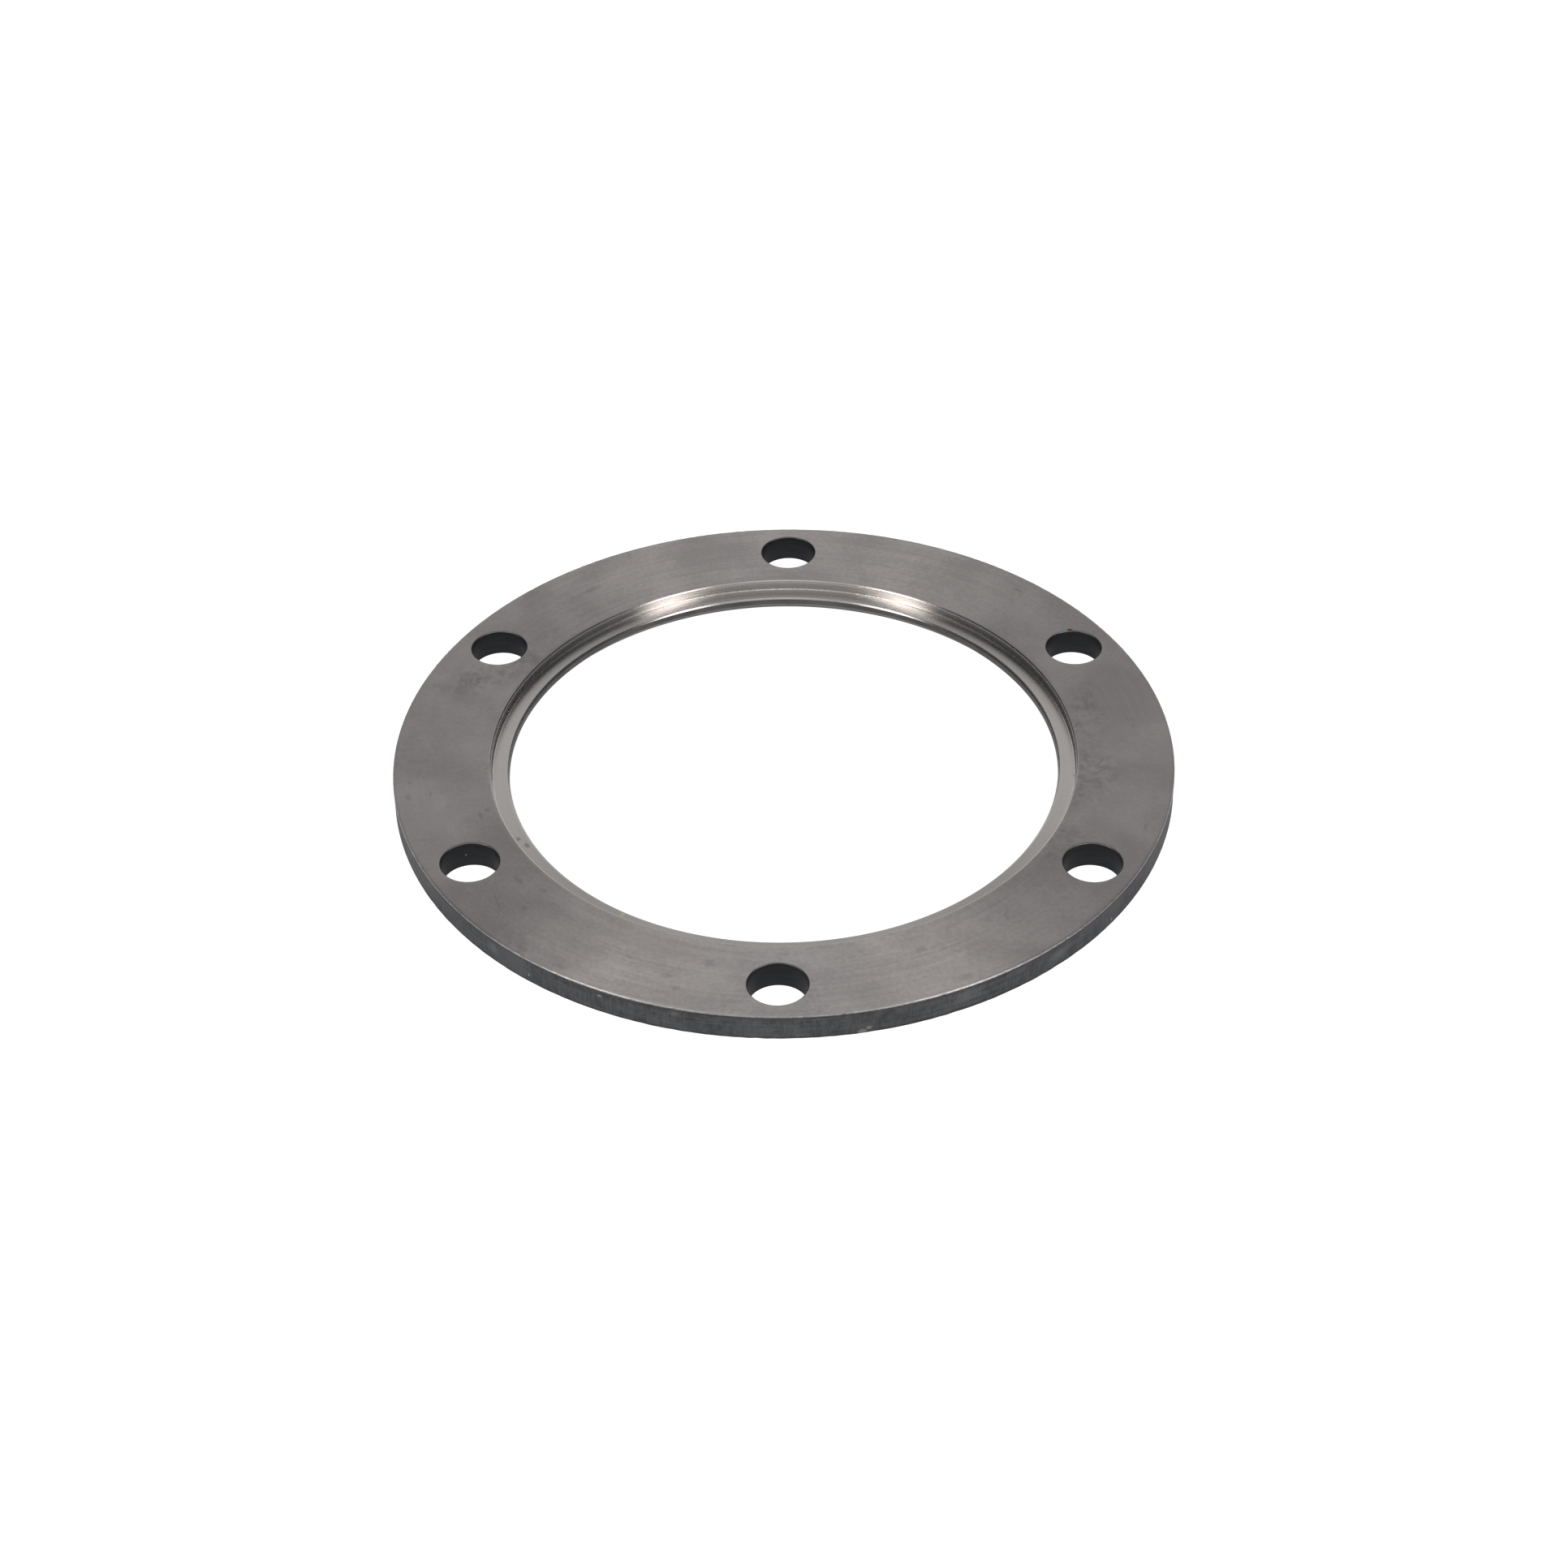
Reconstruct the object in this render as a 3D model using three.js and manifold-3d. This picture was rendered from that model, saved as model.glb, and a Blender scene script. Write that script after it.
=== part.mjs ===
// Flat steel ring flange with six bolt holes and a stepped bore.
//
// One machined piece, in millimetres, +Z up. The origin is the centre of the bore on the
// back face, so the ring lies flat on z = 0 and the recessed face looks up at z = thickness.

import * as THREE from 'three';
import { mergeVertices } from 'three/addons/utils/BufferGeometryUtils.js';
import Module from 'manifold-3d';

// Driving dimensions of the ring.
const OUTER_DIAMETER = 220;
const THICKNESS = 8;
const BORE_DIAMETER = 155;

// Recess turned into the front face: it centres the mating part and leaves a shoulder.
const RECESS_DIAMETER = 165;
const RECESS_DEPTH = 3;

// Bolt holes, the first one on +Y.
const BOLT_CIRCLE_DIAMETER = 195;
const BOLT_HOLE_DIAMETER = 16;
const BOLT_HOLE_COUNT = 6;
const FIRST_HOLE_ANGLE = Math.PI / 2;

// Edge breaks, each at 45 degrees and measured along one leg.
const BACK_BORE_CHAMFER = 2.8;
const RECESS_MOUTH_CHAMFER = 0.5;
const SHOULDER_EDGE_CHAMFER = 0.5;
const RIM_EDGE_BREAK = 0.3;

// Radius left by the turning tool in the corner between recess wall and shoulder.
const RECESS_CORNER_RADIUS = 0.5;
const CORNER_STEPS = 3;

// Fineness of the round shapes.
const RING_SEGMENTS = 120;
const HOLE_SEGMENTS = 48;

// How far a hole's cutting rod stands out of both faces.
const CUTTER_OVERRUN = 2;

const STEEL_COLOUR = 0x8a8684;
const STEEL_ROUGHNESS = 0.45;
const STEEL_METALNESS = 1.0;

const { Manifold, Mesh: ManifoldMesh } = await loadManifold();

async function loadManifold() {
  const wasm = await Module();
  wasm.setup();
  return wasm;
}

// Section of the ring as (radius, height) points, closed on itself and running
// counter-clockwise seen with the radius to the right and the height up.
function ringSection() {
  const outer = OUTER_DIAMETER / 2;
  const bore = BORE_DIAMETER / 2;
  const recess = RECESS_DIAMETER / 2;
  const shoulder = THICKNESS - RECESS_DEPTH;

  const points = [
    new THREE.Vector2(bore + BACK_BORE_CHAMFER, 0),
    new THREE.Vector2(outer - RIM_EDGE_BREAK, 0),
    new THREE.Vector2(outer, RIM_EDGE_BREAK),
    new THREE.Vector2(outer, THICKNESS - RIM_EDGE_BREAK),
    new THREE.Vector2(outer - RIM_EDGE_BREAK, THICKNESS),
    new THREE.Vector2(recess + RECESS_MOUTH_CHAMFER, THICKNESS),
    new THREE.Vector2(recess, THICKNESS - RECESS_MOUTH_CHAMFER),
    ...cornerArc(recess, shoulder),
    new THREE.Vector2(bore + SHOULDER_EDGE_CHAMFER, shoulder),
    new THREE.Vector2(bore, shoulder - SHOULDER_EDGE_CHAMFER),
    new THREE.Vector2(bore, BACK_BORE_CHAMFER),
  ];
  points.push(points[0].clone());
  return points;
}

// Quarter arc that joins the recess wall to the shoulder, from the wall inwards.
function cornerArc(wallRadius, shoulderHeight) {
  const centreRadius = wallRadius - RECESS_CORNER_RADIUS;
  const centreHeight = shoulderHeight + RECESS_CORNER_RADIUS;
  const points = [];
  for (let step = 0; step <= CORNER_STEPS; step += 1) {
    const angle = (-Math.PI / 2) * (step / CORNER_STEPS);
    const radius = centreRadius + RECESS_CORNER_RADIUS * Math.cos(angle);
    const height = centreHeight + RECESS_CORNER_RADIUS * Math.sin(angle);
    points.push(new THREE.Vector2(radius, height));
  }
  return points;
}

// Lathe and cylinder geometries stand along +Y; this turns them to stand along +Z.
function standAlongZ(geometry) {
  return geometry.rotateX(Math.PI / 2);
}

// Rod that cuts one bolt hole, centred at the given angle on the bolt circle.
function boltHoleCutter(angle) {
  const length = THICKNESS + 2 * CUTTER_OVERRUN;
  const radius = BOLT_HOLE_DIAMETER / 2;
  const rod = standAlongZ(new THREE.CylinderGeometry(radius, radius, length, HOLE_SEGMENTS));
  const circleRadius = BOLT_CIRCLE_DIAMETER / 2;
  rod.rotateZ(angle);
  rod.translate(circleRadius * Math.cos(angle), circleRadius * Math.sin(angle), THICKNESS / 2);
  return rod;
}

// A closed geometry with its shared vertices merged, as a solid that can be cut.
function toSolid(geometry) {
  const shape = geometry.clone();
  shape.deleteAttribute('normal');
  shape.deleteAttribute('uv');
  const merged = mergeVertices(shape);
  return new Manifold(new ManifoldMesh({
    numProp: 3,
    vertProperties: new Float32Array(merged.attributes.position.array),
    triVerts: new Uint32Array(merged.index.array),
  }));
}

// A cut solid's vertices and triangles, as a geometry that a mesh can show.
function toGeometry(solid) {
  const cut = solid.getMesh();
  const geometry = new THREE.BufferGeometry();
  geometry.setAttribute('position', new THREE.BufferAttribute(cut.vertProperties, 3));
  geometry.setIndex(new THREE.BufferAttribute(cut.triVerts, 1));
  geometry.computeVertexNormals();
  return geometry;
}

// The turned ring with its bolt holes drilled through.
function flangeRing() {
  let ring = toSolid(standAlongZ(new THREE.LatheGeometry(ringSection(), RING_SEGMENTS)));
  for (let hole = 0; hole < BOLT_HOLE_COUNT; hole += 1) {
    const angle = FIRST_HOLE_ANGLE + (hole * 2 * Math.PI) / BOLT_HOLE_COUNT;
    ring = ring.subtract(toSolid(boltHoleCutter(angle)));
  }
  const steel = new THREE.MeshStandardMaterial({
    color: STEEL_COLOUR,
    roughness: STEEL_ROUGHNESS,
    metalness: STEEL_METALNESS,
  });
  const mesh = new THREE.Mesh(toGeometry(ring), steel);
  mesh.name = 'flange_ring';
  return mesh;
}

const flange = new THREE.Group();
flange.add(flangeRing());

export default flange;
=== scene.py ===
import math

import bpy
import numpy as np
from mathutils import Matrix, Vector


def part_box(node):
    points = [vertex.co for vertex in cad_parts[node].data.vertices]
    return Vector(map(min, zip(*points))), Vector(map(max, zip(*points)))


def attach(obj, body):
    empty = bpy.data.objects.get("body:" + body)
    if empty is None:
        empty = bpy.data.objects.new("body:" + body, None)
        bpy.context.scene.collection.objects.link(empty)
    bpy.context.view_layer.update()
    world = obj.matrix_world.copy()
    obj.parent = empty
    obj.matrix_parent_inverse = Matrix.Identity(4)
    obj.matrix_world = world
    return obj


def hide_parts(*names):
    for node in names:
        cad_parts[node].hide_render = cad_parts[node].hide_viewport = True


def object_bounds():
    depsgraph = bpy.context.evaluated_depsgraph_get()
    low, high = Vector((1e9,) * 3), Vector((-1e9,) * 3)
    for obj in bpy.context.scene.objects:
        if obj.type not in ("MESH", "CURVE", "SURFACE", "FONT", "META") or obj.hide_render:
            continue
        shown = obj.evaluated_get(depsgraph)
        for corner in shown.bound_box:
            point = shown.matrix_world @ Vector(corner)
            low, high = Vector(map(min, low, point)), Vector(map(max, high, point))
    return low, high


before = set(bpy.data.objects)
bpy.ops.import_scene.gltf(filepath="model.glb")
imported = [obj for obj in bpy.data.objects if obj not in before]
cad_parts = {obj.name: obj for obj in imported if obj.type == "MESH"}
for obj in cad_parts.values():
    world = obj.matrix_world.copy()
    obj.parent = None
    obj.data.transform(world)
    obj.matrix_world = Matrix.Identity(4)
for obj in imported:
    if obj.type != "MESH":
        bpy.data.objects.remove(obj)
cad_low, cad_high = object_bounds()


# The camera stands in front of the ring and looks down on it through a long lens, a degree
# or so round from the line through the first bolt hole.
LENS = 75.61
SENSOR_WIDTH = 36.0
CAMERA_DISTANCE = 0.9353
CAMERA_ELEVATION = math.radians(38.77)
CAMERA_TURN = math.radians(1.441)
CAMERA_TILT = math.radians(51.031)
CAMERA_ROLL = math.radians(-0.922)


def place_camera():
    """Puts the camera on a sphere round the ring, then tilts it down and rolls it."""
    camera = bpy.data.objects.new("camera", bpy.data.cameras.new("camera"))
    camera.data.lens = LENS
    camera.data.sensor_width = SENSOR_WIDTH
    turn = Matrix.Rotation(CAMERA_TURN, 4, "Z")
    back = -math.cos(CAMERA_ELEVATION) * CAMERA_DISTANCE
    up = math.sin(CAMERA_ELEVATION) * CAMERA_DISTANCE
    spot = Matrix.Translation(turn @ Vector((0, back, up)))
    aim = turn @ Matrix.Rotation(CAMERA_TILT, 4, "X") @ Matrix.Rotation(CAMERA_ROLL, 4, "Z")
    camera.matrix_world = spot @ aim
    bpy.context.scene.collection.objects.link(camera)
    bpy.context.scene.camera = camera


place_camera()


# The flange: one disc of plate steel. Both faces and the stepped bore are turned on a lathe,
# the outer edge is left as it was cut from the plate, and six holes are drilled through.
MM = 0.001
ring_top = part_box("flange_ring")[1]
OUTER_RADIUS = ring_top.x / MM
THICKNESS = ring_top.z / MM
BORE_RADIUS = 77.5
RECESS_RADIUS = 82.5
SHOULDER_HEIGHT = 5.0
BACK_CHAMFER = 2.8
MOUTH_CHAMFER = 0.5
SHOULDER_CHAMFER = 0.5
CORNER_REACH = 0.5
BORE_ROUNDING = 0.12
RIM_BREAK = 0.3
RIM_ROUNDING = 0.08
BOLT_CIRCLE_RADIUS = 97.5
HOLE_RADIUS = 8.0
HOLE_BREAK = 0.22
HOLE_ROUNDING = 0.07
HOLE_COUNT = 6
FIRST_HOLE = math.radians(90)

# Cells round the ring, and round its rim.
ROUND = 720
RIM_ROUND = 2 * ROUND

# Radii where the flat cells of the two faces meet those of the bore side and of the rim.
FACE_INNER_RADIUS = 84.0
BACK_INNER_RADIUS = 81.6
FACE_OUTER_RADIUS = 108.9

# The block of cells that each hole's collar takes the place of, the collar's own flat width,
# and where its rings of points lie between the block's border and that flat.
COLLAR_HALF_WIDTH = 13
COLLAR_ROWS = 14
COLLAR_INNER_RADIUS = 87.0
COLLAR_OUTER_RADIUS = 108.0
COLLAR_FLAT = 1.0
COLLAR_FILL = (0.33, 0.66)

# Rows of cells between the bore side and those blocks.
INNER_ROWS = 2

# Steps of a rounded edge and of the recess corner, and how the long runs between them are cut:
# a point this close to each end, and even ones this far apart.
EDGE_STEPS = 2
CORNER_STEPS = 5
LONG_RUN = 1.2
END_SUPPORT = 0.18
POINT_SPACING = 1.1

# How far the rim's hand-broken upper edge strays down and inwards, and the rim's hollow.
RAGGED_DROP = 0.22
CHIP_DROP = 0.45
CHIP_REACH = 0.12
RIM_HOLLOW = 0.03
HOLLOW_BEND = 0.5

# Cosines that add up to one wandering curve.
WAVES = 90

# Finishes, in the order of the material slots.
FACED, BORED, LAND, RIM, DRILLED = range(5)


def wander(angle, lowest, highest, seed):
    """A random curve that closes on itself and stays within -1 and 1: the sum of cosines of
    whole-number frequencies from lowest to highest, each with its own phase."""
    draw = np.random.default_rng(seed)
    frequency = draw.integers(lowest, highest + 1, WAVES)
    phase = draw.uniform(0, 2 * np.pi, WAVES)
    curve = np.cos(angle[:, None] * frequency + phase).sum(1)
    return curve / np.abs(curve).max()


def rounded_path(corners, reaches, arc_steps):
    """Points along a polyline whose inner corners are rounded, for many sections at once.

    corners is (sections, corners, 2). Each inner corner becomes the quadratic curve that
    starts and ends its reach away along the two runs. A long run gets a point close to each
    end, which keeps it flat in smooth shading, and even points between them. Returns the
    points (sections, points, 2) and, for each step between points, the run it belongs to."""
    unit = np.diff(corners, axis=1)
    unit = unit / np.linalg.norm(unit, axis=2, keepdims=True)
    pieces = [corners[:, :1]]
    runs = []
    leave = corners[:, :1]
    last = corners.shape[1] - 1
    for run in range(last):
        ahead = corners[:, run + 1:run + 2]
        arrive = ahead
        if run + 1 < last:
            arrive = ahead - unit[:, run:run + 1] * reaches[run]
        length = np.linalg.norm(arrive - leave, axis=2).mean()
        share = np.array([1.0])
        if length > LONG_RUN:
            count = max(2, round(length / POINT_SPACING))
            inner = np.linspace(END_SUPPORT, length - END_SUPPORT, count)
            share = np.append(inner / length, 1.0)
        pieces.append(leave + (arrive - leave) * share[None, :, None])
        runs += [run] * len(share)
        if run + 1 < last:
            t = np.linspace(0, 1, arc_steps[run] + 1)[None, 1:, None]
            leave = ahead + unit[:, run + 1:run + 2] * reaches[run]
            pieces.append((1 - t) ** 2 * arrive + 2 * t * (1 - t) * ahead + t ** 2 * leave)
            runs += [run + 1] * arc_steps[run]
    return np.concatenate(pieces, axis=1), np.array(runs)


def bore_section(angle):
    """The bore side from the front face down to the back face: mouth chamfer, recess wall,
    shoulder, its chamfer, the land and the back chamfer. The chamfers vary a little round it."""
    mouth = MOUTH_CHAMFER * (0.85 + 0.04 * wander(angle, 1, 14, 11))
    lip = SHOULDER_CHAMFER * (1 + 0.05 * wander(angle, 1, 20, 12))
    back = BACK_CHAMFER * (1 + 0.02 * wander(angle, 1, 8, 13))
    flat = np.zeros_like(angle)
    rows = [
        (flat + FACE_INNER_RADIUS, flat + THICKNESS),
        (RECESS_RADIUS + mouth, flat + THICKNESS),
        (flat + RECESS_RADIUS, THICKNESS - mouth),
        (flat + RECESS_RADIUS, flat + SHOULDER_HEIGHT),
        (BORE_RADIUS + lip, flat + SHOULDER_HEIGHT),
        (flat + BORE_RADIUS, SHOULDER_HEIGHT - lip),
        (flat + BORE_RADIUS, back),
        (BORE_RADIUS + back, flat),
        (flat + BACK_INNER_RADIUS, flat),
    ]
    corners = np.stack([np.stack(row, axis=1) for row in rows], axis=1)
    reaches = [BORE_ROUNDING] * 2 + [CORNER_REACH] + [BORE_ROUNDING] * 4
    arc_steps = [EDGE_STEPS] * 2 + [CORNER_STEPS] + [EDGE_STEPS] * 4
    return rounded_path(corners, reaches, arc_steps)


def rim_section(angle):
    """The outer edge from the back face up to the front face, a trace hollow at mid height.
    The upper edge is broken by hand: its width wanders, with small chips that reach further
    down the rim."""
    ragged = np.clip(wander(angle, 90, 620, 21), 0, 1)
    chips = np.clip(wander(angle, 60, 420, 22) - 0.35, 0, 1)
    slow = 0.5 + 0.5 * wander(angle, 1, 7, 23)
    down = RIM_BREAK + RAGGED_DROP * ragged * (0.4 + slow) + CHIP_DROP * chips
    across = RIM_BREAK * (0.75 + 0.25 * wander(angle, 30, 300, 24)) + CHIP_REACH * chips
    under = RIM_BREAK * (1.1 + 0.4 * wander(angle, 10, 200, 25))
    hollow = RIM_HOLLOW * (1 + wander(angle, 3, 40, 26))
    flat = np.zeros_like(angle)
    middle = THICKNESS / 2
    rows = [
        (flat + FACE_OUTER_RADIUS, flat),
        (OUTER_RADIUS - under, flat),
        (flat + OUTER_RADIUS, under),
        (OUTER_RADIUS - hollow, flat + middle),
        (flat + OUTER_RADIUS, THICKNESS - down),
        (OUTER_RADIUS - across, flat + THICKNESS),
        (flat + FACE_OUTER_RADIUS, flat + THICKNESS),
    ]
    corners = np.stack([np.stack(row, axis=1) for row in rows], axis=1)
    reaches = [RIM_ROUNDING] * 2 + [HOLLOW_BEND] + [RIM_ROUNDING] * 2
    return rounded_path(corners, reaches, [EDGE_STEPS] * 2 + [1] + [EDGE_STEPS] * 2)


def hole_section():
    """A bolt hole's side from the front face to the back face, as (distance from the hole's
    axis, height): a straight wall with its two edges broken."""
    collar = HOLE_RADIUS + COLLAR_FLAT
    eased = HOLE_RADIUS + HOLE_BREAK
    rows = [
        (collar, THICKNESS),
        (eased, THICKNESS),
        (HOLE_RADIUS, THICKNESS - HOLE_BREAK),
        (HOLE_RADIUS, HOLE_BREAK),
        (eased, 0),
        (collar, 0),
    ]
    return rounded_path(np.array([rows], float), [HOLE_ROUNDING] * 4, [EDGE_STEPS] * 4)


def closed_cells(grid):
    """Quads of a grid of vertex numbers (round, across) that closes on itself round."""
    ahead = np.roll(grid, -1, axis=0)
    return np.stack([grid[:, :-1], ahead[:, :-1], ahead[:, 1:], grid[:, 1:]], axis=-1)


def halving_cells(fine, coarse, fine_first):
    """Five-sided faces between a fine round edge and one with half as many points."""
    start = fine[0::2]
    middle = fine[1::2]
    end = np.roll(start, -1)
    ahead = np.roll(coarse, -1)
    if fine_first:
        return np.stack([start, middle, end, ahead, coarse], axis=-1)
    return np.stack([coarse, ahead, end, middle, start], axis=-1)


def block_border(grid, column):
    """Vertex numbers round the block of cells that a hole's collar fills, in one turn. The
    grid's rows run inwards from the outermost, where the block starts."""
    columns = np.arange(column - COLLAR_HALF_WIDTH, column + COLLAR_HALF_WIDTH + 1) % ROUND
    rows = np.arange(COLLAR_ROWS + 1)
    return np.concatenate([
        grid[columns[:-1], 0],
        grid[columns[-1], rows[:-1]],
        grid[columns[:0:-1], COLLAR_ROWS],
        grid[columns[0], rows[:0:-1]],
    ])


class Shell:
    """Vertices, faces and finishes of the ring, gathered part by part."""

    def __init__(self):
        self.points = np.zeros((0, 3))
        self.faces = []
        self.finishes = []
        self.local = []

    def add_points(self, points):
        """Takes (..., 3) points in millimetres and gives back their numbers, shaped alike."""
        numbers = len(self.points) + np.arange(points[..., 0].size).reshape(points.shape[:-1])
        self.points = np.vstack([self.points, points.reshape(-1, 3)])
        return numbers

    def add_faces(self, faces, finish, local=None):
        """Takes (..., sides) faces, their finishes, and a hole's centre if they line a hole."""
        flat = faces.reshape(-1, faces.shape[-1])
        self.faces.append(flat)
        self.finishes.append(np.broadcast_to(finish, faces.shape[:-1]).reshape(-1))
        self.local.append(np.full((len(flat), 2), np.nan) if local is None
                          else np.tile(local, (len(flat), 1)))


def turned(angle, section):
    """Carries a section (angles, points, 2) of radius and height round the axis."""
    radius = section[..., 0]
    x = radius * np.cos(angle)[:, None]
    y = radius * np.sin(angle)[:, None]
    return np.stack([x, y, section[..., 1]], axis=-1)


def face_rows(inner_radius):
    """Radii of one face's rows, from the bore outwards: a few inner ones, then those of the
    blocks round the holes."""
    inside = np.linspace(inner_radius, COLLAR_INNER_RADIUS, INNER_ROWS + 2)[1:-1]
    block = np.linspace(COLLAR_INNER_RADIUS, COLLAR_OUTER_RADIUS, COLLAR_ROWS + 1)
    return np.concatenate([inside, block])


def build_shell():
    """Bore side, rim, two faces with the blocks round the holes left out, and the holes."""
    shell = Shell()
    angle = np.arange(ROUND) * 2 * np.pi / ROUND
    rim_angle = np.arange(RIM_ROUND) * 2 * np.pi / RIM_ROUND

    section, runs = bore_section(angle)
    bore = shell.add_points(turned(angle, section))
    bore_finish = np.array([FACED, BORED, BORED, BORED, BORED, LAND, LAND, FACED])[runs]
    shell.add_faces(closed_cells(bore), bore_finish[None, :])

    section, runs = rim_section(rim_angle)
    rim = shell.add_points(turned(rim_angle, section))
    rim_finish = np.array([FACED, RIM, RIM, RIM, RIM, FACED])[runs]
    shell.add_faces(closed_cells(rim), rim_finish[None, :])

    def flat_face(inner_radius, height):
        """Point numbers of one face's rows."""
        radii = face_rows(inner_radius)
        rows = np.stack([radii, np.full_like(radii, height)], axis=-1)
        return shell.add_points(turned(angle, np.tile(rows, (ROUND, 1, 1))))

    hole_columns = [round((FIRST_HOLE / (2 * np.pi) + k / HOLE_COUNT) * ROUND) % ROUND
                    for k in range(HOLE_COUNT)]

    def outside_blocks(grid):
        """A mask of a face's cells outside the blocks round the holes, for rows that run
        inwards."""
        keep = np.ones((ROUND, grid.shape[1] - 1), bool)
        for column in hole_columns:
            columns = np.arange(column - COLLAR_HALF_WIDTH, column + COLLAR_HALF_WIDTH) % ROUND
            keep[columns, :COLLAR_ROWS] = False
        return keep

    # The front face runs inwards, from the rim to the bore; the back face runs outwards.
    front = flat_face(FACE_INNER_RADIUS, THICKNESS)
    front = np.concatenate([bore[:, :1], front], axis=1)[:, ::-1]
    shell.add_faces(closed_cells(front)[outside_blocks(front)], FACED)
    shell.add_faces(halving_cells(rim[:, -1], front[:, 0], True), FACED)

    back = flat_face(BACK_INNER_RADIUS, 0.0)
    back = np.concatenate([bore[:, -1:], back], axis=1)
    shell.add_faces(closed_cells(back)[outside_blocks(back)[:, ::-1]], FACED)
    shell.add_faces(halving_cells(rim[:, 0], back[:, -1], False), FACED)

    for column in hole_columns:
        upper = block_border(front, column)
        lower = block_border(back[:, ::-1], column)
        turn = column * 2 * np.pi / ROUND
        centre = BOLT_CIRCLE_RADIUS * np.array([math.cos(turn), math.sin(turn)])
        border = shell.points[upper][:, :2] - centre
        outward = border / np.linalg.norm(border, axis=1, keepdims=True)

        section, runs = hole_section()
        ring = outward[:, None, :] * section[0][None, :, :1]
        height = np.broadcast_to(section[0][None, :, 1:], ring.shape[:2] + (1,))
        wall = np.concatenate([ring, height], axis=-1)
        share = np.array(COLLAR_FILL)[None, :, None]
        spread = border[:, None] + (ring[:, :1] - border[:, None]) * share
        top = np.full(spread.shape[:2] + (1,), THICKNESS)
        upper_fill = np.concatenate([spread, top], axis=-1)
        lower_fill = upper_fill[:, ::-1].copy()
        lower_fill[..., 2] = 0
        side = np.concatenate([upper_fill, wall, lower_fill], axis=1)
        side[..., :2] += centre
        numbers = shell.add_points(side)
        grid = np.concatenate([upper[:, None], numbers, lower[:, None]], axis=1)
        finish = np.array([FACED, DRILLED, DRILLED, DRILLED, FACED])[runs]
        filled = [FACED] * (len(COLLAR_FILL) + 1)
        finish = np.concatenate([filled, finish, filled])
        cells = closed_cells(grid)
        lining = finish == DRILLED
        shell.add_faces(cells[:, ~lining], FACED)
        shell.add_faces(cells[:, lining], DRILLED, centre)
    return shell


def edge_distance(points):
    """Distance in millimetres from each point to the nearest broken edge of the ring or of a
    hole, measured in the section plane. The inner corner of the recess isn't such an edge."""
    radius = np.hypot(points[:, 0], points[:, 1])
    height = points[:, 2]
    fold = np.arctan2(points[:, 1], points[:, 0]) - FIRST_HOLE
    pitch = 2 * np.pi / HOLE_COUNT
    fold = (fold + pitch / 2) % pitch - pitch / 2
    off_axis = np.hypot(radius * np.cos(fold) - BOLT_CIRCLE_RADIUS, radius * np.sin(fold))
    edges = [
        (radius, RECESS_RADIUS + MOUTH_CHAMFER / 2, THICKNESS - MOUTH_CHAMFER / 2),
        (radius, BORE_RADIUS + SHOULDER_CHAMFER / 2, SHOULDER_HEIGHT - SHOULDER_CHAMFER / 2),
        (radius, BORE_RADIUS, BACK_CHAMFER),
        (radius, BORE_RADIUS + BACK_CHAMFER, 0),
        (radius, OUTER_RADIUS - RIM_BREAK / 2, THICKNESS - RIM_BREAK / 2),
        (radius, OUTER_RADIUS - RIM_BREAK / 2, RIM_BREAK / 2),
        (off_axis, HOLE_RADIUS + HOLE_BREAK / 2, THICKNESS - HOLE_BREAK / 2),
        (off_axis, HOLE_RADIUS + HOLE_BREAK / 2, HOLE_BREAK / 2),
    ]
    gaps = [np.hypot(across - edge_radius, height - edge_height)
            for across, edge_radius, edge_height in edges]
    return np.min(gaps, axis=0)


# How much height counts beside radius in the distance across the section. Above 1, the
# distance keeps changing along the 45 degree chamfers too.
HEIGHT_SHARE = 1.7


def lay_of_the_cut(points, faces, local):
    """Texture map in metres: the first number runs across the tool's path and the second
    along it, round the ring. In a hole it runs round the hole instead."""
    corner = points[faces]
    inside_hole = ~np.isnan(local[:, :1])
    centre = np.nan_to_num(local)[:, None, :]
    x = corner[..., 0] - centre[..., 0]
    y = corner[..., 1] - centre[..., 1]
    turn = np.arctan2(y, x) / (2 * np.pi) % 1
    turn = turn + ((turn.max(1, keepdims=True) - turn > 0.5) & (turn < 0.5))
    reach = np.where(inside_hole, HOLE_RADIUS, BOLT_CIRCLE_RADIUS)
    across = np.hypot(x, y) + HEIGHT_SHARE * corner[..., 2]
    return np.stack([across, turn * 2 * np.pi * reach], axis=-1) * MM


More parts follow.
